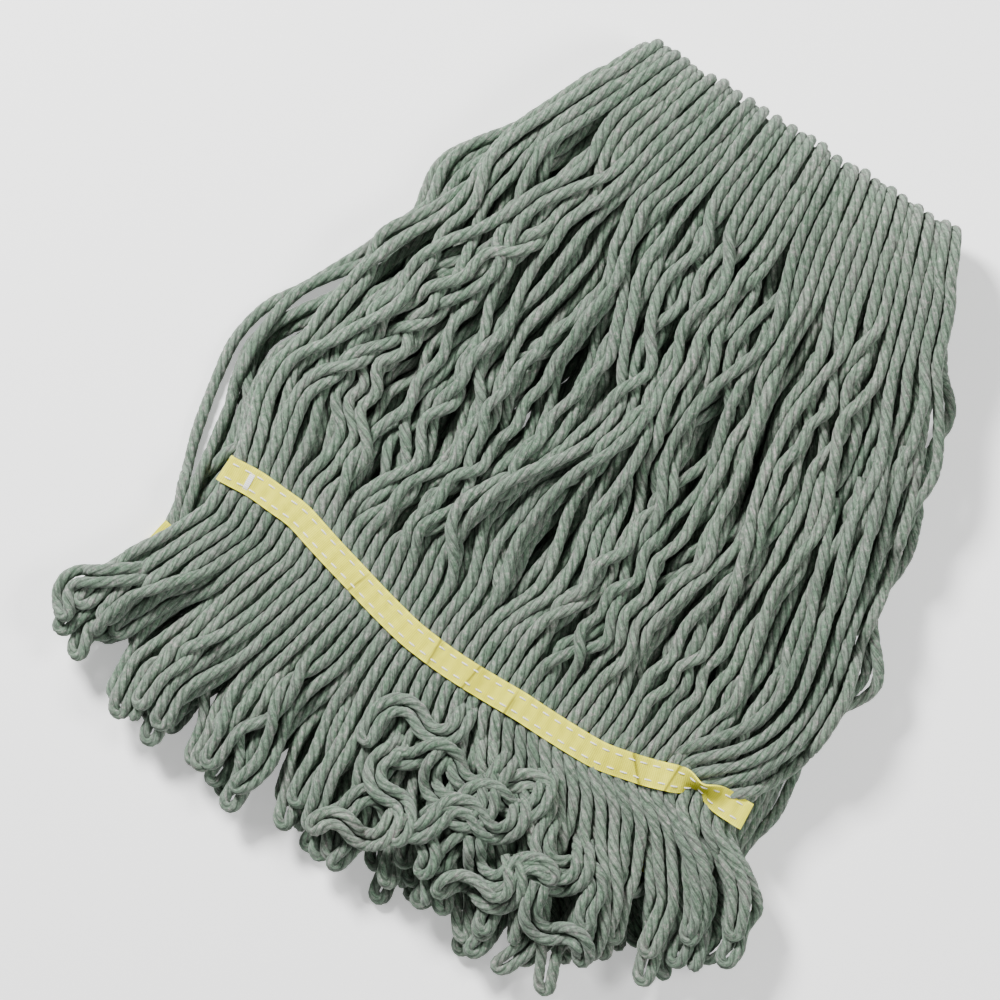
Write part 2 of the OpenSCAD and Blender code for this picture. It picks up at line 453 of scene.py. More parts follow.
# Evens out a path: points about a step apart, and closer together near its loop's end
def resample(points, step, fineNear=None):
    length = runLength(points)
    dense = np.linspace(0, length[-1], int(length[-1]) + 2)
    path = pointsAt(dense, length, points)
    for turn in range(4):
        path[1:-1] = 0.25 * path[:-2] + 0.5 * path[1:-1] + 0.25 * path[2:]
    at = np.linspace(0, length[-1], max(int(round(length[-1] / step)), 4) + 1)
    if fineNear is not None:
        middle, reach, fineStep = fineNear
        middle = middle * length[-1]
        fine = np.arange(middle - reach, middle + reach, fineStep)
        coarse = at[np.abs(at - middle) > reach + fineStep * 0.7]
        at = np.sort(np.concatenate([coarse, fine]))
    return pointsAt(at, dense, path), at


# Carries a sideways direction along a path without turning it about the path
def carryFrame(first, t):
    sides = np.zeros_like(t)
    side = first
    for k, ahead in enumerate(t):
        side = unit(side - ahead * (side @ ahead))
        sides[k] = side
    return sides


# The yarn: its size, and how it is laid
yarn = {
    "radius": 2.78,          # mm, over the plies
    "packed": 2.6,           # mm, the radius that other yarn lies on
    "nominal": 5.5,          # mm, a free yarn's width
    "girth": 17.0,           # mm round it, for its pattern
    "pitch": 29.0,           # mm for one turn of the twist
    "plies": 4,
    "ringStep": 2.6,         # mm between rings
    "rows": 4,               # rows of yarn in the fold
    "across": 34,            # yarns in each row of the fold
    "layers": 3,             # layers at a tailband
    "hanks": 12,
    "flare": 0.0055,         # share that the fold widens in each mm from its crest
    "loop": (11, 1.4),       # mm to each side of a loop's end where its rings are closer, and their step
}

# Reach of the fan to the left and right, in mm, at distances in mm from the fold
neckFan = ((22, 91.4), (31, 96), (43, 101.5), (63, 109), (90, 120), (130, 130))
fan = {
    "upper": {
        "left": neckFan + ((170, 138), (210, 142), (250, 140), (285, 137), (311, 149), (334, 163),
                           (360, 175)),
        "right": neckFan + ((170, 139), (210, 144), (250, 141), (285, 139), (302, 160), (325, 174),
                            (397, 176)),
    },
    "lower": {
        "left": neckFan + ((170, 142), (210, 149), (260, 151), (318, 150), (335, 157), (360, 171),
                           (397, 174)),
        "right": neckFan + ((170, 141), (210, 147), (260, 149), (318, 150), (335, 160), (355, 172),
                            (397, 174)),
    },
}
# Distance of the loops' ends from the fold, in mm, from left to right as shares of the half width
loopEnds = {
    "upper": ((-1, 360), (-0.86, 372), (-0.72, 392), (-0.5, 390), (-0.3, 392), (0, 390), (0.15, 392),
              (0.32, 396), (0.5, 386), (0.64, 378), (0.77, 362), (0.9, 344), (1, 330)),
    "lower": ((-1, 362), (-0.8, 376), (-0.5, 388), (0, 391), (0.3, 395), (0.6, 378), (1, 346)),
}
# How far the fringe leans to the right in each mm, from the left edge to the right one
fringeLean = ((-1, 0), (-0.4, 0.0), (-0.1, 0.22), (0.3, 0.3), (0.65, 0.24), (1, 0))
# Thickness of a half, in mm, at distances in mm from the fold, as the hanks have it
thickness = ((55, 20.0), (244, 15.0), (339, 15.0), (397, 13.0))
neckAt = 31                  # mm from the fold, up to where a half is as thick as the fold is
halfGap = 0.8                # mm between the two halves

# A ply has three points round it: the furrow beside it and two on its back. Each is an angle in degrees
# from the middle of the ply, a share of the yarn's radius, and how deep in the furrow it lies, which sets
# the painted shade that the yarn's material puts in the furrow.
plyPoints = np.array(((-45, 0.78, 1.0), (-20, 0.98, 0.0), (20, 0.98, 0.0)))
plyAngle = 2 * math.pi / yarn["plies"]
lobeAngle = np.radians(np.add.outer(np.arange(yarn["plies"]) * 360 / yarn["plies"], plyPoints[:, 0]).ravel())
lobeSize, lobeFurrowShade = np.tile(plyPoints[:, 1:].T, yarn["plies"])


# Rings of four-ply yarn about a path: their centres, and how far each point stands from them
def tube(centres, sides, t, turn, radius):
    other = np.cross(t, sides)
    angle = turn[:, None] + lobeAngle[None, :]
    size = (radius[:, None] * lobeSize[None, :])[:, :, None]
    reach = np.cos(angle)[:, :, None] * sides[:, None, :] + np.sin(angle)[:, :, None] * other[:, None, :]
    return centres, reach * size


# Presses a yarn's rings: across is the share kept in X and Y, up the share kept in Z
def pressed(rings, across, up):
    centres, reach = rings
    share = np.stack([across, across, up], 1)[:, None, :]
    return centres[:, None, :] + reach * share


def turnAlong(along):
    return -2 * math.pi / yarn["pitch"] * along      # the plies wind to the left


def hankOf(x):
    half = yarn["hanks"] / 2
    return min(int((x / headHalf + 1) * half), yarn["hanks"] - 1)


# The tailbands. At places along X, wander is how far one strays from its drawn line, in mm, roll its
# turn about its own line, in degrees, and rise how far it stands off, in mm. A tuck is its place, its
# slant, and its height.
bands = {
    "width": 12.7, "thick": 0.75,
    "step": 0.6,             # mm along the tape from one row of its mesh to the next
    "columns": 14,
    "margin": 5.0,           # mm of tape past the last yarn
    "short": 1.5,            # mm that each end stops short of the drawn tape
    "smooth": 19,            # places over which its wander, roll and rise are evened out
    "upper": {
        "wander": ((-142, 1), (-125, -5), (-101, -9), (-65, -5), (-30, 0), (-9, 1), (28, 1),
                   (70, 5), (95, 3), (112, 0), (128, 4), (142, 8)),
        "tucks": ((-61, 0.10, 1.0), (-16, -0.12, 1.1), (4, 0.16, 1.3), (25, 0.05, 0.9), (88, -0.5, 1.6),
                  (104, 0.35, 1.2)),
        "roll": ((-142, 4), (-120, 0), (60, 0), (84, 12), (98, -10), (107, 18), (115, 84), (123, 30),
                 (132, -6), (142, -3)),
        "rise": ((-142, 0.4), (100, 0), (110, 2.0), (117, 4.2), (126, 2.2), (142, 0.8)),
    },
    "lower": {
        "wander": ((-152, 0), (-120, 2), (-60, -2), (0, 1), (70, -2), (120, 2), (152, 0)),
        "tucks": (),
        "roll": ((-152, 0), (152, 0)),
        "rise": ((-152, 0), (152, 0)),
    },
}


# Half length of a tailband, the distance of its middle from the fold, and its bow, in mm
def bandLine(half):
    low, high = [np.array(corner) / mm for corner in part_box(half + "_tailband_outer")]
    middle = foldLine - (low[1] + bands["width"] / 2)
    return high[0], middle, (high[1] - low[1]) - bands["width"]


# Distance of a tailband's centre line from the fold, at x
def bandAt(half, x):
    reach, middle, bow = bandLine(half)
    places = np.arange(-170, 171)
    wander = smoothed(table(bands[half]["wander"], places), bands["smooth"])
    return middle - bow * np.minimum(np.abs(x) / reach, 1.05) ** 2 + np.interp(x, places, wander)


# The yarn under a tailband lies in columns: their number, half their whole width, and their pitch
def bandColumns(half):
    columns = math.ceil(yarn["rows"] * yarn["across"] / yarn["layers"])
    reach = bandLine(half)[0] - bands["margin"]
    return columns, reach, 2 * reach / (columns - 0.5)


# Heights of the lower and upper face of a half, at distances a from the fold
def faces(half, a):
    if half == "lower":
        turn = foldRadius - innerRadius
        return np.zeros_like(a), table(((foldRadius, turn), (neckAt, turn)) + thickness, a)
    turn = foldRadius + innerRadius
    under = [(foldRadius, turn), (neckAt, turn)]
    over = [(foldRadius, 2 * foldRadius), (neckAt, 2 * foldRadius)]
    under += [(at, thick + halfGap) for at, thick in thickness]
    over += [(at, 2 * thick + halfGap) for at, thick in thickness]
    return table(under, a), table(over, a)


# The yarns crowd together in small bunches along the fold, with a groove between one bunch and the
# next. Towards the fold's ends they calm down. Lengths are in mm.
bunching = {"pitch": 13.5, "shift": 0.85, "groove": 1.7, "calm": 8.0}


# Place along the fold, radius of turn, and row of each yarn
def startFold():
    rows, across = yarn["rows"], yarn["across"]
    depth = (foldRadius - innerRadius) / rows
    pitch = (2 * headHalf - yarn["nominal"]) / (across - 0.5)
    r, i = np.divmod(np.arange(rows * across), across)
    x = (i + 0.5 * (r % 2)) * pitch - headHalf + yarn["nominal"] / 2
    rho = innerRadius + (r + 0.5) * depth
    phase = x * 2 * math.pi / bunching["pitch"] + 1.3 * np.sin(x * 0.06)
    x = x - bunching["shift"] * np.sin(phase) * ease((headHalf - np.abs(x)) / bunching["calm"])
    rho = rho - np.where(r == rows - 1, bunching["groove"] * (0.5 + 0.5 * np.cos(phase)) ** 2, 0)
    return x, rho, r


# Widths across and up of a free yarn, in mm, and how they change under the tape and at the fold.
# Each change is whole up to a distance from there, and dies away over another.
pressing = {"widths": ((5.45, 0.5, -0.05), (5.4, -0.8, -0.4)), "tape": (7, 9), "fold": (30, 26)}


# Widths across and up of one yarn at distances a
def yarnWidths(a, tapeAt):
    near, fading = pressing["tape"]
    under = ease(1 - (np.abs(a - tapeAt) - near) / fading)
    near, fading = pressing["fold"]
    neck = ease(1 - (a - near) / fading)
    return [free + atTape * under + atFold * neck for free, atTape, atFold in pressing["widths"]]


# The seed of the draws, and the height of each kind of wave, in mm. A ruffle is its place as a share
# of the half width, its distance from the fold, its reach both ways, and its height.
waves = {
    "upper": {
        "seed": 11, "locks": 6.0, "own": 0.75, "sweep": 9.0, "bundle": 7.0, "slump": 9.0, "crimp": 1.5,
        "ruffles": ((-0.66, 190, 0.26, 42, 3.6), (0.24, 222, 0.16, 30, 3.2), (0.6, 247, 0.16, 28, 3.8),
                    (-0.2, 130, 0.15, 26, 2.4)),
    },
    "lower": {
        "seed": 29, "locks": 5.0, "own": 0.8, "sweep": 5.0, "bundle": 3.5, "slump": 5.0, "crimp": 0.9,
        "ruffles": (),
    },
}


# A wave along the yarn, of a length in mm
def wave(a, length, *phases):
    return np.sin(sum(phases, 2 * math.pi * a / length))


# Sideways waves that neighbours share, and each yarn's own, in mm, at places u and distances a.
# Top is 1 for the yarns of the fold's outermost row and 0 for the others.
def waviness(half, u, a, tapeAt, top):
    setting = waves[half]
    seed = np.random.default_rng(setting["seed"])
    body = ease((a - 34) / 70) * ease((tapeAt - 12 - a) / 42)
    fringe = ease((a - tapeAt - 16) / 50)
    top = top[:, None]
    count = len(a)
    # locks: wide groups of yarns that swing together
    locks = np.zeros_like(a)
    for turn in range(7):
        length = seed.uniform(95, 240)
        lean = seed.uniform(4, 15) * seed.choice((-1, 1))
        phase = seed.uniform(0, 2 * math.pi)
        locks += length / 165 * wave(a, length, lean * u, phase)
    locks *= setting["locks"] / math.sqrt(7 / 2) * (0.9 - 0.35 * u)
    # bundles: a few yarns crowd together and leave a gap beside them
    drift = 1.3 * wave(a, 210, 2.5 * u, seed.uniform(0, 6))
    drift += 0.9 * wave(a, 120, -5 * u, seed.uniform(0, 6))
    bundle = setting["bundle"] * np.sin(u * 41 + drift) * (0.7 + 0.5 * np.sin(u * 9 + a / 40))
    # slump: the middle of the half sags to its right between the fold and the tailband
    sag = ease((a - 36) / 90) * ease((tapeAt - 8 - a) / 130)
    slump = setting["slump"] * sag * np.exp(-((u + 0.1) / 0.5) ** 2) * (0.85 + 0.4 * top)
    own = np.zeros_like(a)
    for turn in range(3):
        length = seed.uniform(60, 170, (count, 1))
        phase = seed.uniform(0, 2 * math.pi, (count, 1))
        size = seed.gamma(2.0, 1.0, (count, 1)) * length / 100
        own += size * wave(a, length, phase)
    # the outermost yarns sweep over the others in threes and fours
    teams = np.floor((u[:, 0] + 1) * 5.2).astype(int) + 1
    length = seed.uniform(150, 330, 16)[teams][:, None]
    phase = seed.uniform(0, 2 * math.pi, 16)[teams][:, None]
    size = seed.uniform(0.3, 1.5, 16)[teams][:, None] + seed.normal(0, 0.22, (count, 1))
    sweep = setting["sweep"] * size * wave(a, length, phase) * top
    sweep = sweep * (1 - 0.6 * ease((u - 0.1) / 0.5))
    sweep = sweep * (1 - 0.65 * ease((u + 0.45) / 0.3) * ease((a - 150) / 60))
    # the two legs of a loop swing together in the fringe
    pairs = np.repeat(np.arange(count // 2), 2)
    length = seed.uniform(60, 130, (count // 2, 1))[pairs]
    swing = seed.normal(0, 6.5, (count // 2, 1))[pairs]
    phase = seed.uniform(0, 2 * math.pi, (count // 2, 1))[pairs]
    together = swing * wave(a - tapeAt, length, phase) + 0.6 * swing
    together = together * (0.25 + 0.75 * ease((u + 0.2) / 0.5))
    # crimp: some yarns keep the crinkle of their twist
    crinkled = seed.uniform(0, 1, (count, 1)) < 0.5
    length = seed.uniform(22, 38, (count, 1))
    phase = seed.uniform(0, 2 * math.pi, (count, 1))
    patch = 0.55 + 0.45 * np.sin(a / 31 + 5 * u + 2.0)
    crimp = setting["crimp"] * crinkled * patch * wave(a, length, phase)
    # ruffles: places where neighbours zigzag together
    for place, far, wide, deep, size in setting["ruffles"]:
        near = np.exp(-((u - place) / wide) ** 2 - ((a - far) / deep) ** 2)
        zigzag = wave(a, 27 + 5 * np.sin(u * 19), 6 * u)
        crimp = crimp + size * near * (0.7 + 0.3 * top) * zigzag
    clumps = (5.0 * np.sin(u * 26 + 1.0) + 3.5 * np.sin(u * 41)) * (1 + 0.9 * ease(u / 0.4))
    lean = table(fringeLean, u) * np.clip(a - tapeAt - 12, 0, 90)
    # on the right the fringe parts into tassels sooner
    right = ease((u - 0.38) / 0.3)
    part = ease((a - tapeAt - 20 + 12 * right) / (50 - 14 * right)) * (fringe + (1 - fringe) * right)
    return (slump + lean + body * (locks + bundle + setting["own"] * own + sweep + crimp)
            + fringe * (0.35 * own + together) + clumps * part)


# How the yarns are laid, slice by slice. Lengths are in mm.
laying = {
    "step": 3.0,             # from one slice to the next
    "rounds": 260,
    "near": 14,              # neighbours in its slice that a yarn can touch
    "push": 0.42,            # share of an overlap that each of the two gives way in a round
    "most": 1.2,             # furthest that a yarn is pushed in a round
    "sink": 0.05,            # fall in a round
    "inset": 1.2,            # of the yarn from the tape
    "swell": 9.0,            # how far the upper half's yarns may stand above its face
    "legs": 6.0,             # between the two legs of a loop at its end
    "closing": 8,            # slices in which they come together
    "hold": 9.0,             # along a yarn, in which the tape holds it in place
    "scatter": 0.25,         # of the places that the yarns start from
    "row": (0.866, 2.73),    # height of a row under the tape and of three rows, as shares of a yarn's
}

# How far, in mm, the loops' ends stray from their line: all of them, each one by a random draw with
# its limits, those of the fold's outermost row, and in clumps
straying = {"all": -3.2, "draw": (-5, 7.5), "limits": (-30, 4), "outer": -10, "clump": 4.5, "last": -2}


# Puts each yarn in a column and a layer under the tape, where the fold's outer rows are outermost
def placeUnderTape(half, x0, row):
    outer = row if half == "upper" else yarn["rows"] - 1 - row
    layers = yarn["layers"]
    columns, reach, pitch = bandColumns(half)
    order = np.argsort(x0 + outer * 0.01)
    column, layer = np.zeros(len(x0), int), np.zeros(len(x0), int)
    for c in range(columns):
        group = order[c * layers:(c + 1) * layers]
        group = group[np.argsort(outer[group], kind="stable")]
        layer[group] = np.arange(len(group))
        column[group] = c
    x = (column + 0.25 + 0.5 * (layer == 1)) * pitch - reach
    low, high = faces(half, bandAt(half, x))
    inset = laying["inset"]
    rise, whole = laying["row"]
    return x, low + inset + (high - low - 2 * inset) / whole * (0.5 + rise * layer)


# Distance from the fold of each loop's end
def loopReach(half, u, row):
    pair = np.arange(len(u)) // 2
    ends = table(loopEnds[half], np.clip(u + 0.4 * table(fringeLean, u), -1, 1))
    ends = 0.5 * (ends[pair * 2] + ends[pair * 2 + 1]) + straying["all"]
    stray = np.clip(random.normal(*straying["draw"], len(u) // 2), *straying["limits"])
    outermost = row[::2] == yarn["rows"] - 1
    stray = stray + straying["outer"] * outermost * random.uniform(0, 1, len(u) // 2)
    clump = straying["clump"] * np.sin(u[pair * 2] * 31 + 0.7)
    return ends + stray[pair] + clump + straying["last"]


# Moves in X and Z that push apart the yarns that overlap in a slice
def pushApart(atX, atZ, widths, tall, active):
    index = np.argsort(np.where(active, atX, 1e6 + atX), axis=0)
    xs, zs, ws, hs, on = [np.take_along_axis(field, index, 0)
                          for field in (atX, atZ, widths, tall, active)]
    moves = np.zeros((2, *atX.shape))
    for s in range(1, laying["near"] + 1):
        w = 0.5 * (ws[s:] + ws[:-s])
        h = 0.5 * (hs[s:] + hs[:-s])
        dx = (xs[s:] - xs[:-s]) / w
        dz = (zs[s:] - zs[:-s]) / h
        q = np.sqrt(dx * dx + dz * dz) + 1e-6
        push = np.where((q < 1) & on[s:] & on[:-s], (1 - q) / q * laying["push"], 0)
        for move, apart in zip(moves, (push * dx * w, push * dz * h)):
            move[s:] += apart
            move[:-s] -= apart
    back = np.zeros_like(moves)
    for result, move in zip(back, moves):
        np.put_along_axis(result, index, move, 0)
    return np.clip(back, -laying["most"], laying["most"])


# Brings the two legs of each loop together at its end
def closeLoops(atX, atZ, last):
    share = 0.5 * np.linspace(0.1, 0.9, laying["closing"])
    for m in range(0, len(atX), 2):
        reach = slice(last[m] - laying["closing"] + 1, last[m] + 1)
        gaps = [field[m + 1, reach] - field[m, reach] for field in (atX, atZ)]
        far = np.sqrt(gaps[0] ** 2 + gaps[1] ** 2) + 1e-6
        for field, gap in zip((atX, atZ), gaps):
            give = share * (1 - laying["legs"] / far) * gap
            field[m, reach] += give
            field[m + 1, reach] -= give


# Lays the yarns of one half side by side and on each other
def settle(half):
    x0, rho, row = startFold()
    step = laying["step"]
    a = foldRadius + step * np.arange(int((headLength - foldRadius) / step) + 1)
    upper = half == "upper"
    z0 = foldRadius + rho if upper else foldRadius - rho
    xTape, zTape = placeUnderTape(half, x0, row)
    tapeAt = bandAt(half, xTape)[:, None]
    # where each yarn would lie if it were alone
    distance = np.broadcast_to(a, (len(x0), len(a)))
    along = ease((distance - foldRadius) / (tapeAt - foldRadius))
    u = (x0 / headHalf)[:, None] * (1 - along) + (xTape / bandColumns(half)[1])[:, None] * along
    sides = [table(fan[half][side], distance) for side in ("left", "right")]
    pinned = np.exp(-((distance - tapeAt) / laying["hold"]) ** 2)
    outermost = (row == yarn["rows"] - 1) * 1.0
    target = u * np.where(u < 0, *sides) + waviness(half, u, distance, tapeAt, outermost)
    target = target * (1 - pinned) + xTape[:, None] * pinned
    lift = z0[:, None] * (1 - along) + zTape[:, None] * along
    last = ((loopReach(half, u[:, -1], row) - foldRadius) / step).astype(int)
    last = np.clip(last, 20, len(a) - 3)
    active = np.arange(len(a))[None, :] <= last[:, None]
    # the room that it has
    across, up = yarnWidths(distance, tapeAt)
    low, high = faces(half, distance)
    under = laying["inset"] * np.exp(-((distance - tapeAt) / 10.0) ** 4)
    floor = low + under + up * 0.5
    ceiling = high - under - up * 0.5
    if upper:
        ceiling = ceiling + laying["swell"] * (1 - pinned) * ease((distance - 40) / 50)
        ceiling = np.minimum(ceiling, 2 * foldRadius - up * 0.5 - 0.3)
    atX = target + random.normal(0, laying["scatter"], target.shape)
    atZ = np.clip(lift + random.normal(0, laying["scatter"], target.shape), floor, ceiling)
    slope = np.gradient(target, step, axis=1)
    widths = across * np.sqrt(1 + np.clip(slope, -1.2, 1.2) ** 2)
    holdX = 0.075 + 0.5 * pinned + 0.06 * ease((distance - tapeAt - 25) / 30) * ease((u - 0.1) / 0.2)
    holdZ = 0.004 + 0.5 * pinned
    start = (np.arange(len(a)) <= 1)[None, :]
    begin = x0[:, None] * (1 + yarn["flare"] * distance)
    for turn in range(laying["rounds"]):
        late = turn / laying["rounds"]
        moveX, moveZ = pushApart(atX, atZ, widths, up, active)
        atX = atX + moveX
        atZ = atZ + moveZ
        atX = atX + holdX * (1 - 0.7 * late) * (target - atX)
        atZ = atZ + holdZ * (lift - atZ) - laying["sink"] * (1 - pinned)
        calm = 0.22 if late < 0.9 else 0.1
        for field, aim in ((atX, target), (atZ, lift)):
            off = field - aim
            off[:, 1:-1] += calm * (off[:, 2:] + off[:, :-2] - 2 * off[:, 1:-1])
            field[:] = aim + off
        atZ = np.clip(atZ, floor, ceiling)
        atX = np.where(start, begin, atX)
        atZ = np.where(start, z0[:, None], atZ)
        closeLoops(atX, atZ, last)
    return {"a": a, "x": atX, "z": atZ, "x0": x0, "rho": rho, "row": row, "last": last,
            "tapeAt": tapeAt[:, 0]}


gridHalf = 240               # mm from the middle of the grid of heights to its sides


# How high the yarn already lies, on a grid of 1 mm
class Heights:
    def __init__(self):
        self.grid = np.zeros((2 * gridHalf, 2 * gridHalf))
        reach = range(-4, 5)
        self.disc = [(i, j, i * i + j * j) for i in reach for j in reach]

    def cells(self, points):
        return [np.round(points[:, k]).astype(int) + gridHalf for k in range(2)]

    def stamp(self, points, radius):
        ix, iy = self.cells(points)
        for i, j, far in self.disc:
            if far < radius * radius:
                np.maximum.at(self.grid, (ix + i, iy + j), points[:, 2] + math.sqrt(radius ** 2 - far))

    def rest(self, points, radius):
        ix, iy = self.cells(points)
        best = np.full(len(points), radius)
        for i, j, far in self.disc:
            if far < radius * radius:
                best = np.maximum(best, self.grid[ix + i, iy + j] + 0.85 * math.sqrt(radius ** 2 - far))
        return best


heights = Heights()


# Directions along a yarn that meets the fold at both of its ends, at x[0] and x[1]
def foldedTangents(points, x, toward):
    t = unit(np.gradient(points, axis=0))
    t[0] = unit(np.array((toward * -yarn["flare"] * x[0], toward, 0)))
    t[-1] = unit(np.array((toward * yarn["flare"] * x[1], -toward, 0)))
    return t


# The path of a loop: down its left leg, round its end, and up its right one
def loopPath(laid, m):
    legs = []
    for n in (m, m + 1):
        k = laid["last"][n] + 1
        legs.append(np.stack([laid["x"][n, :k], foldLine - laid["a"][:k], laid["z"][n, :k]], 1))
    left, right = legs[0][-1], legs[1][-1]
    arm = (left - right) / 2
    ahead = unit((legs[0][-1] - legs[0][-4]) + (legs[1][-1] - legs[1][-4]))
    reach = max(np.linalg.norm(arm), 2.7) * 1.1
    bend = [(left + right) / 2 + arm * math.cos(f) + ahead * reach * math.sin(f)
            for f in np.linspace(0.3, math.pi - 0.3, 8)]
    return np.concatenate([legs[0], bend, legs[1][::-1]]), len(legs[0]) / (len(legs[0]) + len(legs[1]))


# Builds one half's loops of yarn, and returns how far each is turned where it meets the fold
def layHalf(half, laid, tones):
    count = len(laid["x0"])
    groups = {}
    turns = np.zeros(count)
    for m in range(0, count, 2):
        path, middle = loopPath(laid, m)
        points, along = resample(path, yarn["ringStep"], (middle, *yarn["loop"]))
        t = foldedTangents(points, path[(0, -1), 0], -1)
        sides = carryFrame(np.array([1.0, 0, 0]), t)
        first = random.uniform(0, plyAngle)
        turn = first + turnAlong(along)
        tapeAt = np.interp(np.arange(len(points)), (0, len(points) - 1), laid["tapeAt"][[m, m + 1]])
        across, up = yarnWidths(foldLine - points[:, 1], tapeAt)
        uneven = 1 + 0.04 * np.sin(along * 0.21 + m) + 0.035 * np.sin(along * 0.083 + 2.1 * m)
        uneven[0] = uneven[-1] = 1
        ring = tube(points, sides, t, turn, yarn["radius"] * uneven)
        rings = pressed(ring, across / yarn["nominal"], up / yarn["nominal"])
        heights.stamp(points, yarn["packed"])
        strands = groups.setdefault(hankOf(laid["x0"][m]), Strands())
        strands.add(rings, along, tones[m // 2], lobeFurrowShade, yarn["girth"])
        turns[m] = first
        turns[m + 1] = math.atan2(sides[-1][2], sides[-1][0]) - turn[-1]
    for hank, strands in sorted(groups.items()):
        piece = strands.build(f"{half}Hank{hank + 1:02d}", yarnFinish)
        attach(piece, half + "_half")
        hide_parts(f"{half}_hank_{hank + 1:02d}")
    return turns


# How the turns differ, in mm: how far they swell together and each by itself, and how far each sways.
# The inset is taken from each row's height to find a start and an end with unrolled(), which nothing uses.
turning = {"swell": 0.9, "own": 0.3, "sway": 0.45, "inset": 2.2}


# Start and end points at a height in mm above and below the hinge
def unrolled(rise):
    return [(0, hinge[1] * mm, (hinge[2] + height) * mm) for height in (rise, -rise)]


# Turns each yarn round the headband, from the lower half to the upper one
def layFold(laid, lowerTurns, upperTurns, tones):
    groups = {}
    across, up = yarnWidths(foldRadius, headLength)      # no tape is near the fold
    for n, (x, rho) in enumerate(zip(laid["x0"], laid["rho"])):
        steps = max(int(math.pi * rho / yarn["ringStep"]), 10)
        f = np.linspace(0, math.pi, steps + 1)
        swell = turning["swell"] * math.sin(x * 0.21 + 0.8) * math.sin(x * 0.047 + 1.0)
        swell += turning["own"] * math.cos(n * 2.3)
        out = rho + swell * np.sin(f) ** 2
        y = hinge[1] + out * np.sin(f)
        sway = turning["sway"] * np.sin(f) ** 2 * math.sin(n * 1.7)
        wide = x * (1 + yarn["flare"] * (foldLine - y)) + sway
        points = np.stack([wide, y, hinge[2] - out * np.cos(f)], 1)
        t = foldedTangents(points, (x, x), 1)
        sides = carryFrame(np.array([1.0, 0, 0]), t)
        # the twist goes on from the lower half's, and gives way a little to meet the upper half's
        along = rho * f
        start = -lowerTurns[n]
        drift = math.atan2(-sides[-1][2], sides[-1][0])
        miss = upperTurns[n] + drift - (start + turnAlong(along[-1]))
        miss = (miss + plyAngle / 2) % plyAngle - plyAngle / 2
        turn = start + turnAlong(along) + miss * f / math.pi
        centres, reach = tube(points, sides, t, turn, np.full(len(f), yarn["radius"]))
        # the section is pressed towards the hinge here, not towards the floor
        inward = np.stack([np.zeros_like(f), np.sin(f), -np.cos(f)], 1)[:, None, :]
        depth = (reach * inward).sum(2, keepdims=True)
        reach = (reach - depth * inward) * across / yarn["nominal"] + depth * inward * up / yarn["nominal"]
        strands = groups.setdefault((hankOf(x), laid["row"][n]), Strands())
        strands.add(centres[:, None, :] + reach, along, tones[n // 2], lobeFurrowShade, yarn["girth"])
    depth = (foldRadius - innerRadius) / yarn["rows"]
    for (hank, row), strands in sorted(groups.items()):
        piece = strands.build(f"foldHank{hank + 1:02d}Row{row + 1}", yarnFinish)
        start, end = unrolled(innerRadius + (row + 0.5) * depth - turning["inset"])
        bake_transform(piece)
        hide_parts(f"fold_hank_{hank + 1:02d}")


# Yarns that have slipped out of the bundle. A route's points are x, distance from the fold, and
# how far the yarn stands above what it rests on, in mm. Below 0 it dives between its neighbours.
slackLeft = (
    ((-118, 100, -9), (-131, 128, -3), (-143, 156, 0), (-154, 178, 0), (-164, 195, 0), (-168, 214, 0),
     (-166, 232, 0), (-163, 248, 0), (-159, 264, 0), (-153, 281, -1), (-147, 296, -5), (-141, 312, -9)),
    ((-126, 140, -9), (-141, 160, -2), (-155, 182, 0), (-159, 204, 0), (-158, 223, 0), (-154, 241, 0),
     (-151, 259, 0), (-148, 276, -1), (-144, 293, -5), (-138, 308, -9)),
)
slackRight = (
    ((78, 24, -8), (91, 30, -1), (99, 43, 0), (108, 56, 0), (120, 67, 0), (124, 76, 0), (124, 88, 0),
     (128, 103, 0), (132, 121, 0), (134, 137, 0), (138, 156, -2), (138, 178, -8)),
)
sideBundle = (
    ((118, 92, -8), (128, 118, -2), (137, 148, 0), (142, 178, 0), (148, 201, 0), (150, 222, 0),
     (148, 240, 0), (141, 256, 0), (131, 267, -1), (121, 273, -5), (113, 277, -9)),
    ((112, 96, -8), (121, 122, -1), (130, 152, 0), (136, 180, 0), (142, 202, 0), (144, 221, 0),
     (141, 237, 0), (134, 252, 0), (125, 264, -1), (115, 271, -5), (108, 277, -9)),
    ((107, 104, -8), (116, 130, -1), (126, 160, 0), (132, 186, 0), (137, 206, 0), (138, 223, 0),
     (135, 239, 0), (127, 253, 0), (117, 263, -1), (109, 271, -6), (103, 277, -9)),
    ((103, 118, -8), (112, 146, -1), (121, 172, 0), (127, 194, 0), (131, 212, 0), (131, 227, 0),
     (127, 240, 0), (119, 252, 0), (110, 261, -1), (103, 269, -6), (97, 276, -9)),
    ((98, 132, -8), (108, 160, -1), (117, 184, 0), (122, 204, 0), (124, 219, 0), (121, 233, 0),
     (114, 246, 0), (105, 257, -1), (98, 267, -6), (92, 275, -9)),
)
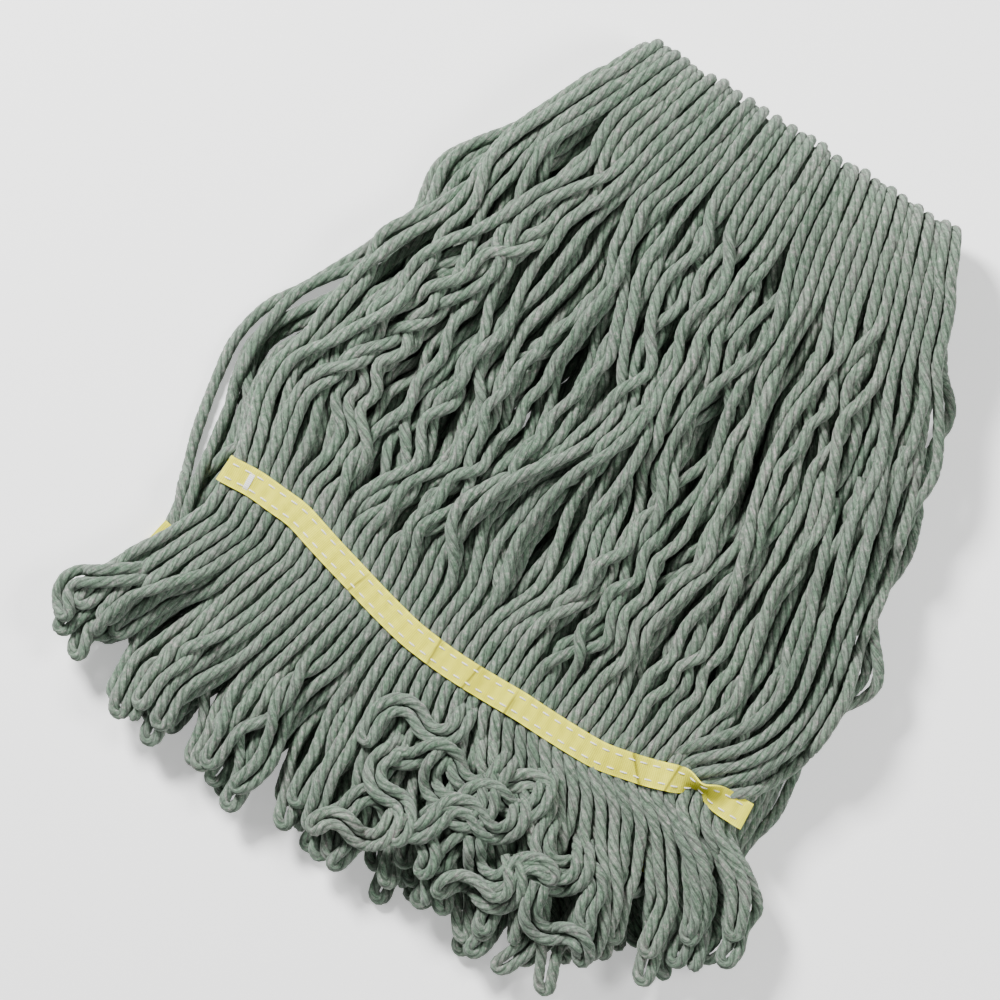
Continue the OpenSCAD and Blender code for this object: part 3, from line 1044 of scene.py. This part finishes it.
# Loops whose twist has made them curl up. Each starts out of sight at x, a distance from the fold
# and a heading in degrees. It then goes on in stretches, each a length in mm and a turn in degrees.
curls = (
    (8, 292, 10, ((14, 0), (24, -140), (20, 110), (14, 40))),
    (22, 300, 25, ((14, 0), (22, 120), (24, -150), (14, 60))),
    (38, 302, -10, ((16, 10), (24, -140), (20, 120), (12, -60))),
    (54, 302, 30, ((14, -20), (22, -130), (24, 150), (10, -40))),
    (14, 316, -30, ((12, 20), (24, 130), (24, -150), (14, 40))),
    (32, 318, 35, ((12, 0), (22, -130), (24, 160), (12, -70))),
    (48, 318, 50, ((12, -30), (24, -150), (22, 130), (12, -30))),
    (66, 316, 10, ((14, 0), (22, 130), (24, -150), (10, 50))),
    (84, 320, 30, ((12, 0), (24, -140), (20, 110))),
    (26, 342, -20, ((12, 0), (22, -120), (22, 140), (10, -40))),
    (42, 344, 30, ((12, 0), (24, 150), (20, -120))),
    (60, 342, 40, ((14, 0), (24, -160), (20, 110))),
    (78, 346, 10, ((12, 0), (22, 130), (18, -120))),
    (-6, 326, -25, ((12, 0), (22, 130), (22, -120))),
    (8, 352, 0, ((12, 0), (20, -120), (18, 110))),
    (-142, 322, -52, ((16, 0), (16, -8), (16, 98), (5, 10))),
)


# A smooth path, with a point each mm, through a route's points
def routePath(route):
    knots = np.array(route, float)
    ends = np.concatenate([[2 * knots[0] - knots[1]], knots, [2 * knots[-1] - knots[-2]]])
    path = []
    for k in range(1, len(ends) - 2):
        p0, p1, p2, p3 = ends[k - 1:k + 3]
        span = max(int(np.linalg.norm((p2 - p1)[:2])), 2)
        for s in np.arange(span) / span:
            path.append(0.5 * (2 * p1 + (p2 - p0) * s + (2 * p0 - 5 * p1 + 4 * p2 - p3) * s * s
                               + (3 * p1 - p0 - 3 * p2 + p3) * s ** 3))
    path = np.array(path + [ends[-2]])
    return np.stack([path[:, 0], foldLine - path[:, 1], path[:, 2]], 1)


# Half the gap between a curled loop's legs and the depth of their ends, in mm, and the share of the
# path over which each of them sinks
curling = {"gap": 2.75, "sink": 9.0, "sinking": 0.09}


# The two legs of a loop and its end, along a line that bends as its stretches say
def curlPath(x, a, heading, stretches):
    way, place = math.radians(heading), np.array((x, a), float)
    line, ways = [], []
    for length, bend in stretches:
        for step in range(int(length)):
            way += math.radians(bend) / int(length)
            place = place + (math.sin(way), math.cos(way))
            line.append(place)
            ways.append(way)
    line, ways = np.array(line), np.array(ways)
    aside = np.stack([np.cos(ways), -np.sin(ways)], 1)
    gap = curling["gap"]
    ahead = np.array((math.sin(way), math.cos(way)))
    end = [line[-1] + aside[-1] * gap * math.cos(f) + ahead * gap * 1.15 * math.sin(f)
           for f in np.linspace(0.3, math.pi - 0.3, 8)]
    path = np.concatenate([line + aside * gap, end, (line - aside * gap)[::-1]])
    f = np.linspace(0, 1, len(path))
    sink = -sum(curling["sink"] * (1 - ease(share / curling["sinking"])) for share in (f, 1 - f))
    return np.stack([path[:, 0], foldLine - path[:, 1], sink], 1)


# A loose yarn is let down a stretch of points at a time. It also lies on its own points from near to
# far behind the stretch, so that it can cross itself. Its heights are smoothed over some points, and
# pressed down softly, in mm, to stay below the top of the fold. The step is from ring to ring.
dropping = {"stretch": 4, "near": 8, "far": 12, "smooth": 15, "soft": 5, "below": 0.4, "step": 2.2}


# Lets a path down onto the yarn below it
def dropPath(path, lowest):
    radius = yarn["packed"]
    z = np.zeros(len(path))
    for first in range(0, len(path), dropping["stretch"]):
        stretch = slice(first, first + dropping["stretch"])
        z[stretch] = heights.rest(path[stretch], radius)
        behind = slice(max(first - dropping["far"], 0), max(first - dropping["near"], 0))
        done = path[behind].copy()
        done[:, 2] = z[behind]
        heights.stamp(done, radius)
    tall = np.array([z[max(k - 2, 0):k + 3].max() for k in range(len(z))])
    points = path.copy()
    points[:, 2] = np.maximum(smoothed(tall, dropping["smooth"]) + path[:, 2], radius + lowest)
    # nothing stands higher than the fold
    soft = dropping["soft"]
    room = 2 * foldRadius - radius - dropping["below"] - soft
    over = np.maximum(points[:, 2] - room, 0)
    points[:, 2] = np.minimum(points[:, 2], room) + soft * (1 - np.exp(-over / soft))
    heights.stamp(points, radius)
    return points


def looseYarns(name, half, paths):
    strands = Strands()
    lowest = 0 if half == "lower" else thickness[1][1] + halfGap
    for path in paths:
        points, along = resample(dropPath(path, lowest), dropping["step"])
        t = unit(np.gradient(points, axis=0))
        sides = carryFrame(np.array([1.0, 0.1, 0]), t)
        turn = random.uniform(0, plyAngle) + turnAlong(along)
        radius = yarn["radius"] * (0.98 + 0.04 * np.sin(along * 0.19 + len(strands.caps)))
        centres, reach = tube(points, sides, t, turn, radius)
        strands.add(centres[:, None, :] + reach, along, random.uniform(0, 1), lobeFurrowShade, yarn["girth"])
    piece = strands.build(name, yarnFinish)
    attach(piece, half + "_half")


tones = random.uniform(0, 1, yarn["rows"] * yarn["across"] // 2)
upperLaid = settle("upper")
print("upper half laid")
lowerLaid = settle("lower")
print("lower half laid")
lowerTurns = layHalf("lower", lowerLaid, tones)
looseYarns("slackLeft", "lower", [routePath(route) for route in slackLeft])
looseYarns("slackRight", "lower", [routePath(route) for route in slackRight])
upperTurns = layHalf("upper", upperLaid, tones)
layFold(upperLaid, lowerTurns, upperTurns, tones)
looseYarns("sideBundle", "upper", [routePath(route) for route in sideBundle])
looseYarns("curledLoops", "upper", [curlPath(*curl) for curl in curls])
print("yarn built")


# A closed strip of tape about a grid of points, its rows running across it
def ribbon(name, grid, normals, thick, widths, lengths, creaseShadow, material):
    rows, columns = grid.shape[:2]
    offset = normals * thick / 2
    vertices = np.concatenate([(grid + offset).reshape(-1, 3), (grid - offset).reshape(-1, 3)]) * mm
    top = np.arange(rows * columns).reshape(rows, columns)
    bottom = top + rows * columns
    # the two faces, the two long edges and the two ends
    sheets = (top, bottom.T, (top[:, 0], bottom[:, 0]), (bottom[:, -1], top[:, -1]),
              (bottom[0], top[0]), (top[-1], bottom[-1]))
    quads = np.concatenate([
        np.stack([s[:-1, :-1], s[:-1, 1:], s[1:, 1:], s[1:, :-1]], 2).reshape(-1, 4)
        for s in map(np.array, sheets)])
    corners = np.tile(np.stack(np.meshgrid(widths, lengths), 2).reshape(-1, 2), (2, 1)) * mm
    mesh = bpy.data.meshes.new(name)
    mesh.from_pydata(vertices.tolist(), [], quads.tolist())
    addUv(mesh, corners[quads.ravel()])
    addField(mesh, "creaseShadow", np.tile(creaseShadow.ravel(), 2))
    piece = addPiece(name, mesh, material)
    bpy.ops.object.select_all(action="DESELECT")
    piece.select_set(True)
    bpy.context.view_layer.objects.active = piece
    bpy.ops.object.mode_set(mode="EDIT")
    bpy.ops.mesh.select_all(action="SELECT")
    bpy.ops.mesh.normals_make_consistent(inside=False)
    bpy.ops.object.mode_set(mode="OBJECT")
    bpy.ops.object.shade_smooth_by_angle(angle=math.radians(50))
    return piece


# The grid of a tailband's surface, its normals, and how strong the painted shadow in its creases is
def bandSurface(half, side):
    reach = bandLine(half)[0] - bands["short"]
    setting = bands[half]
    outer = side == "outer"
    low, high = [corner[2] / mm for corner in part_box(f"{half}_tailband_{side}")]
    level = (low + high) / 2
    away = 1 if (half == "upper") == outer else -1     # which way the tape faces
    dense = np.linspace(-reach, reach, 1200)
    line = np.stack([dense, foldLine - bandAt(half, dense)], 1)
    length = runLength(line)
    s = np.linspace(0, length[-1], int(length[-1] / bands["step"]) + 1)
    centre = pointsAt(s, length, line)
    t = unit(np.gradient(centre, axis=0))
    sideways = np.stack([-t[:, 1], t[:, 0]], 1)
    v = np.linspace(-1, 1, bands["columns"]) * bands["width"] / 2
    x = centre[:, 0]
    height = np.zeros((len(s), len(v)))
    creaseShadow = np.zeros((len(s), len(v)))
    if outer:
        for place, slant, tall in setting["tucks"]:
            at = x[:, None] - place - slant * v[None, :]
            fade = 1 if tall > 1 else ease(0.9 - v[None, :] / bands["width"])
            height += tall * fade * np.exp(-np.maximum(at, 0) / 2.6) * ease((at + 0.9) / 0.9)
            # painted shadow along the crease of each tuck
            creaseShadow += 0.95 * fade * np.exp(-((at + 0.7) / 0.75) ** 2)
    # the tape is puffed up a little by each yarn under it, and its rims are drawn down
    puff = 0.16 * np.cos(2 * math.pi * x[:, None] / bandColumns(half)[2])
    puff = puff - 0.10 * (np.abs(v)[None, :] / (bands["width"] / 2)) ** 3
    ripple = 0.35 * np.sin(x[:, None] * 0.11 + v[None, :] * 0.22) + 0.22 * np.sin(x[:, None] * 0.23 + 1.1)
    height += puff + (ripple if outer and half == "upper" else 0)
    turned = (np.radians(table(setting["roll"], x)), table(setting["rise"], x))
    roll, rise = [smoothed(values, bands["smooth"]) * outer for values in turned]
    flat = v[None, :] * np.cos(roll)[:, None]
    grid = np.zeros((len(s), len(v), 3))
    grid[:, :, :2] = centre[:, None, :] + sideways[:, None, :] * flat[:, :, None]
    grid[:, :, 2] = level + away * (height + rise[:, None] + v[None, :] * np.sin(roll)[:, None])
    normals = unit(np.cross(np.gradient(grid, axis=0), np.gradient(grid, axis=1)))
    normals *= np.sign(normals[:, :, 2:3].mean()) * away
    return grid, normals, v, s, np.clip(creaseShadow, 0, 0.9)


# Sizes of a stitch in mm: its length, the pitch from one to the next, the thread's thickness and
# girth, and the distances from the tape's end and edge. A thread has six sides and seven rings.
stitching = {"long": 3.7, "pitch": 6.0, "thread": 0.8, "girth": 1.3, "start": 2.5, "fromEdge": 2.6,
             "sides": 6, "rings": 7, "thin": 0.45}


# A back-tack is some rows of one long stitch each, at a distance from the tape's left end
backTack = {"at": 12.0, "rows": 4, "start": 1.6, "long": 8.6, "pitch": 30.0}


# Lays dashes of thread along a line on a surface. Each dips into it at both ends.
def stitchRow(strands, line, normals, sideways, setting):
    length = runLength(line)
    angles = (2 * math.pi * np.arange(setting["sides"]) / setting["sides"])[None, :, None]
    k = np.linspace(0, 1, setting["rings"])
    arch = setting["thread"] * (np.sin(math.pi * k) ** 0.3 * 0.75 - 0.45)
    size = setting["thread"] / 2 * (0.7 + 0.3 * np.sin(math.pi * k))
    at = setting["start"]
    while at + setting["long"] < length[-1] - setting["start"]:
        s = at + k * setting["long"]
        centres, up, side = [pointsAt(s, length, field) for field in (line, normals, sideways)]
        centres = centres + up * arch[:, None]
        section = np.cos(angles) * side[:, None, :] + np.sin(angles) * up[:, None, :]
        rings = centres[:, None, :] + size[:, None, None] * section
        strands.add(rings[::-1], s, 0.5, np.zeros(setting["sides"]), setting["girth"])
        at += setting["pitch"] * (1 + 0.05 * math.sin(at))


def addBand(half, side):
    grid, normals, v, s, creaseShadow = bandSurface(half, side)
    name = f"{half}Tailband{side.title()}"
    piece = ribbon(name, grid, normals, bands["thick"], v, s, creaseShadow, bandFinish)
    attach(piece, half + "_half")
    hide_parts(f"{half}_tailband_{side}")
    strands = Strands()
    alongT, acrossT = [unit(np.gradient(grid, axis=axis)) for axis in range(2)]
    surface = grid + normals * bands["thick"] / 2
    # a stitch that the head lies on is pressed thin
    row = dict(stitching, thread=stitching["thin"]) if (half, side) == ("lower", "outer") else stitching
    for edge in (-1, 1):
        j = int(np.argmin(np.abs(v - edge * (bands["width"] / 2 - stitching["fromEdge"]))))
        stitchRow(strands, surface[:, j], normals[:, j], acrossT[:, j], row)
    if side == "outer":
        tack = {**row, **backTack}
        first = int(backTack["at"] / bands["step"])
        for line in range(first, first + backTack["rows"]):
            stitchRow(strands, surface[line], normals[line], alongT[line], tack)
    threads = strands.build(f"{half}Stitches{side.title()}", threadFinish, False)
    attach(threads, half + "_half")
    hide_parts(f"{half}_{side}_stitches")


for half in ("upper", "lower"):
    for side in ("outer", "inner"):
        addBand(half, side)
print("tailbands built")

# Sizes in mm. A leaf waves a little, and its stitches are some columns from its edge.
headband = {"thick": 0.95, "long": 32.0, "columns": 46, "step": 1.5, "wave": 0.18, "stitchColumn": 3,
            "bareEnd": 0.6}


# The headband, folded round the channel for the handle's clamp bar
def addHeadband():
    middle = (bandHigh[2] - hinge[2]) - headband["thick"] / 2
    leaf = (headband["long"] - math.pi * middle) / 2
    s = np.linspace(0, headband["long"], headband["columns"])
    f = np.clip((s - leaf) / middle, 0, math.pi)
    straight = np.minimum(s - leaf, 0) - np.maximum(s - leaf - math.pi * middle, 0)
    x = np.linspace(-headHalf, headHalf, int(2 * headHalf / headband["step"]) + 1)
    normals = np.zeros((len(x), len(s), 3))
    normals[:, :, 1] = np.sin(f)
    normals[:, :, 2] = -np.cos(f)
    grid = normals * middle
    grid[:, :, 0] = x[:, None]
    grid[:, :, 1] += hinge[1] + straight
    leafOnly = np.clip(np.abs(s - headband["long"] / 2) - math.pi * middle / 2, 0, 3) / 3
    ripple = headband["wave"] * np.sin(x[:, None] * 0.31 + s[None, :] * 0.15) * leafOnly
    grid[:, :, 2] += hinge[2] + ripple * normals[:, :, 2]
    piece = ribbon("headband", grid, normals, headband["thick"], s, x, np.zeros(grid.shape[:2]),
                   headbandFinish)
    threads = {}
    for half, j in (("lower", headband["stitchColumn"]), ("upper", len(s) - 1 - headband["stitchColumn"])):
        strands = Strands()
        inner = grid[:, j] - normals[:, j] * headband["thick"] / 2
        sideways = np.tile((0.0, 1.0, 0.0), (len(x), 1))
        stitchRow(strands, inner, -normals[:, j], sideways, stitching)
        threads[half] = strands.build(f"{half}HeadbandStitches", threadFinish, False)
        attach(threads[half], half + "_half")
        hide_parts(f"{half}_headband_stitches")
    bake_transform(piece)
    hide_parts("headband_fold", "lower_headband_leaf", "upper_headband_leaf")


addHeadband()
print("headband built")
